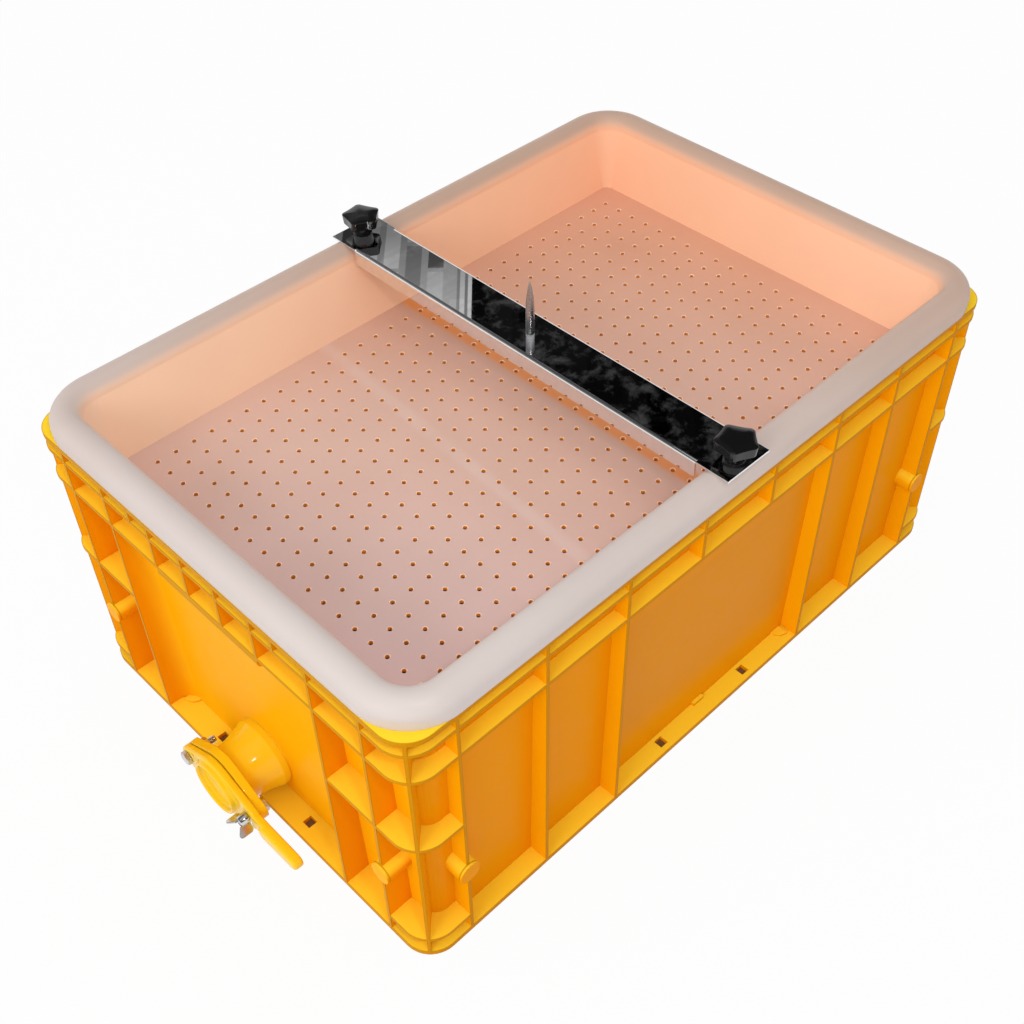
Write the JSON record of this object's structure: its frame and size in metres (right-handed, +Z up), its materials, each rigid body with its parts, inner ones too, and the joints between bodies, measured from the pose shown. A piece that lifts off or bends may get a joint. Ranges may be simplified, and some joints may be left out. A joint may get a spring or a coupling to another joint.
{
  "type": "uncapping tank",
  "caption": "Honey uncapping tank: ribbed crate under a perforated straining tray with a clamped crossbar, comb spike and swing-blade honey gate.",
  "frame": {"origin": "on the ground, under the middle of the crate's 600 by 400 mm footprint", "axes": "+Z up, X along the crate's long side with the honey gate on the -X end, Y along the crossbar"},
  "size_m": [0.6426, 0.4104, 0.317],
  "materials": {
    "amber_plastic": "amber food grade polypropylene, satin gloss, slightly translucent",
    "white_plastic": "natural white polyethylene, satin, slightly translucent",
    "mirror_stainless": "mirror polished stainless sheet",
    "turned_stainless": "turned and polished stainless",
    "pressed_stainless": "bright pressed stainless",
    "bolt_steel": "plain stainless fasteners",
    "black_plastic": "black glass filled nylon, fine matt",
    "yellow_plastic": "yellow polypropylene, semi gloss",
    "gasket_rubber": "black rubber"
  },
  "bodies": {
    "crate": {"crate": "amber_plastic", "gate_body": "yellow_plastic", "gate_gasket": "gasket_rubber", "gate_back_nut": "yellow_plastic", "gate_pivot_bolt": "bolt_steel", "gate_pivot_nut": "bolt_steel", "gate_clamp_stud": "bolt_steel"},
    "tray": {"tray_shell": "white_plastic", "tray_floor": "white_plastic", "crossbar": "mirror_stainless", "spike": "turned_stainless", "spike_nut": "bolt_steel"},
    "knob_left": {"knob_left": "black_plastic", "knob_stud_left": "bolt_steel"},
    "knob_right": {"knob_right": "black_plastic", "knob_stud_right": "bolt_steel"},
    "clamp_nut_left": {"clamp_nut_left": "bolt_steel"},
    "clamp_nut_right": {"clamp_nut_right": "bolt_steel"},
    "gate_blade": {"gate_blade": "yellow_plastic"},
    "gate_wing_nut": {"gate_wing_nut": "pressed_stainless"}
  },
  "joints": [
    {"name": "tray_lift", "type": "slide", "parent": "crate", "child": "tray", "axis": [0, 0, 1], "range_m": [0, 0.08]},
    {"name": "knob_left_turn", "type": "hinge", "parent": "tray", "child": "knob_left", "pos_m": [0, 0.189, 0.271], "axis": [0, 0, 1], "range_deg": [0, 1440]},
    {"name": "knob_right_turn", "type": "hinge", "parent": "tray", "child": "knob_right", "pos_m": [0, -0.189, 0.271], "axis": [0, 0, 1], "range_deg": [0, 1440]},
    {"name": "clamp_nut_left_travel", "type": "slide", "parent": "tray", "child": "clamp_nut_left", "axis": [0, 0, -1], "range_m": [0, 0.004]},
    {"name": "clamp_nut_right_travel", "type": "slide", "parent": "tray", "child": "clamp_nut_right", "axis": [0, 0, -1], "range_m": [0, 0.004]},
    {"name": "gate_blade_swing", "type": "hinge", "parent": "crate", "child": "gate_blade", "pos_m": [-0.32, 0.0365, 0.035], "axis": [-1, 0, 0], "range_deg": [0, 95]},
    {"name": "wing_nut_spin", "type": "hinge", "parent": "crate", "child": "gate_wing_nut", "pos_m": [-0.33, -0.0365, 0.035], "axis": [-1, 0, 0], "continuous": true}
  ],
  "couplings": [
    {"joint": "clamp_nut_left_travel", "follows": "knob_left_turn", "m_per_rad": 0.00015915},
    {"joint": "clamp_nut_right_travel", "follows": "knob_right_turn", "m_per_rad": 0.00015915}
  ]
}
